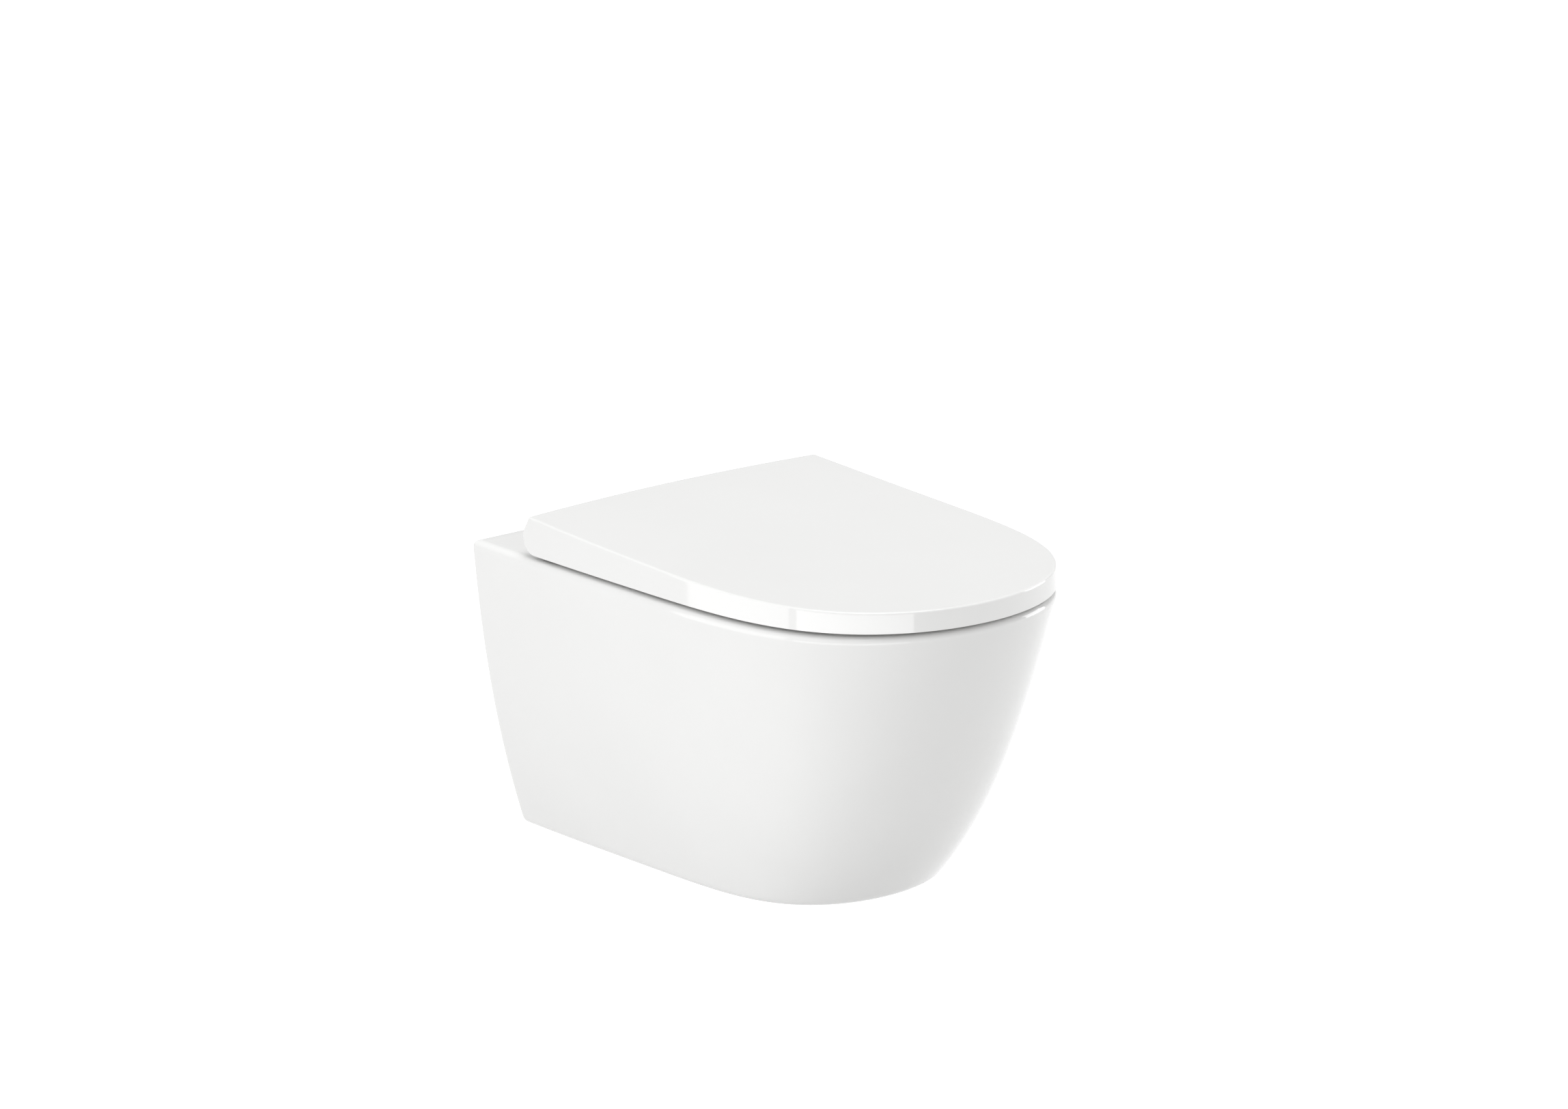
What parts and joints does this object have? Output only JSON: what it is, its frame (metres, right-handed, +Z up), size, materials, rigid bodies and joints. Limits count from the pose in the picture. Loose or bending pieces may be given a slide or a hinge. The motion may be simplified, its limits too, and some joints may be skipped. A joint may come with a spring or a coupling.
{
  "type": "wall hung toilet",
  "caption": "Wall hung ceramic toilet pan with concealed fixings, a lift-off soft-close seat and a wrap-over lid.",
  "frame": {"origin": "midway between the two wall studs, in the plane of the finished wall", "axes": "+Y into the wall, +Z up, +X to the right as seen from the front; the pan stands out along -Y"},
  "size_m": [0.3584, 0.53, 0.3296],
  "materials": {
    "vitreous_china": "gloss",
    "seat_thermoset": "gloss",
    "lid_thermoset": "gloss",
    "distributor_plastic": "satin",
    "nylon": "satin",
    "zinc_plated_steel": "satin",
    "stainless_steel": "brushed",
    "rubber": "matt",
    "brass": "satin",
    "hinge_plastic": "satin",
    "damper_plastic": "satin",
    "bush_plastic": "satin",
    "spring_steel": "satin"
  },
  "bodies": {
    "root": {"pan": "vitreous_china", "flush_distributor": "distributor_plastic", "fixing_block_left": "nylon", "fixing_block_right": "nylon", "locking_screw_left": "zinc_plated_steel", "locking_screw_right": "zinc_plated_steel", "base_gasket_left": "rubber", "base_gasket_right": "rubber", "hinge_base_left": "stainless_steel", "hinge_base_right": "stainless_steel", "hinge_post_left": "stainless_steel", "hinge_post_right": "stainless_steel", "hinge_screw_left": "stainless_steel", "hinge_screw_right": "stainless_steel", "expansion_sleeve_left": "rubber", "expansion_sleeve_right": "rubber", "cone_nut_left": "brass", "cone_nut_right": "brass"},
    "seat_mount": {"hinge_housing_left": "hinge_plastic", "hinge_housing_right": "hinge_plastic", "lid_damper": "damper_plastic", "seat_damper": "damper_plastic", "latch_spring_left": "spring_steel", "latch_spring_right": "spring_steel"},
    "button_left": {"release_button_left": "hinge_plastic"},
    "button_right": {"release_button_right": "hinge_plastic"},
    "seat": {"seat_ring": "seat_thermoset", "seat_buffers": "rubber", "seat_damper_shaft": "stainless_steel", "hinge_bush_left": "bush_plastic", "hinge_bush_right": "bush_plastic"},
    "lid": {"lid": "lid_thermoset", "lid_buffers": "rubber", "lid_damper_shaft": "stainless_steel", "lid_pivot_pin": "stainless_steel"}
  },
  "joints": [
    {"name": "seat_lift_off", "type": "slide", "parent": "root", "child": "seat_mount", "axis": [0, 0, 1], "range_m": [0, 0.05]},
    {"name": "seat_hinge", "type": "hinge", "parent": "seat_mount", "child": "seat", "pos_m": [0, -0.0915, 0.099], "axis": [-1, 0, 0], "range_deg": [0, 93]},
    {"name": "lid_hinge", "type": "hinge", "parent": "seat", "child": "lid", "pos_m": [0, -0.0915, 0.099], "axis": [1, 0, 0], "range_deg": [-95, 0]},
    {"name": "release_button_left_press", "type": "slide", "parent": "seat_mount", "child": "button_left", "axis": [0, -1, 0], "range_m": [0, 0.0025], "stiffness_N_per_m": 1200, "springref_m": -0.001, "deforming": ["latch_spring_left"]},
    {"name": "release_button_right_press", "type": "slide", "parent": "seat_mount", "child": "button_right", "axis": [0, -1, 0], "range_m": [0, 0.0025], "stiffness_N_per_m": 1200, "springref_m": -0.001, "deforming": ["latch_spring_right"]}
  ]
}
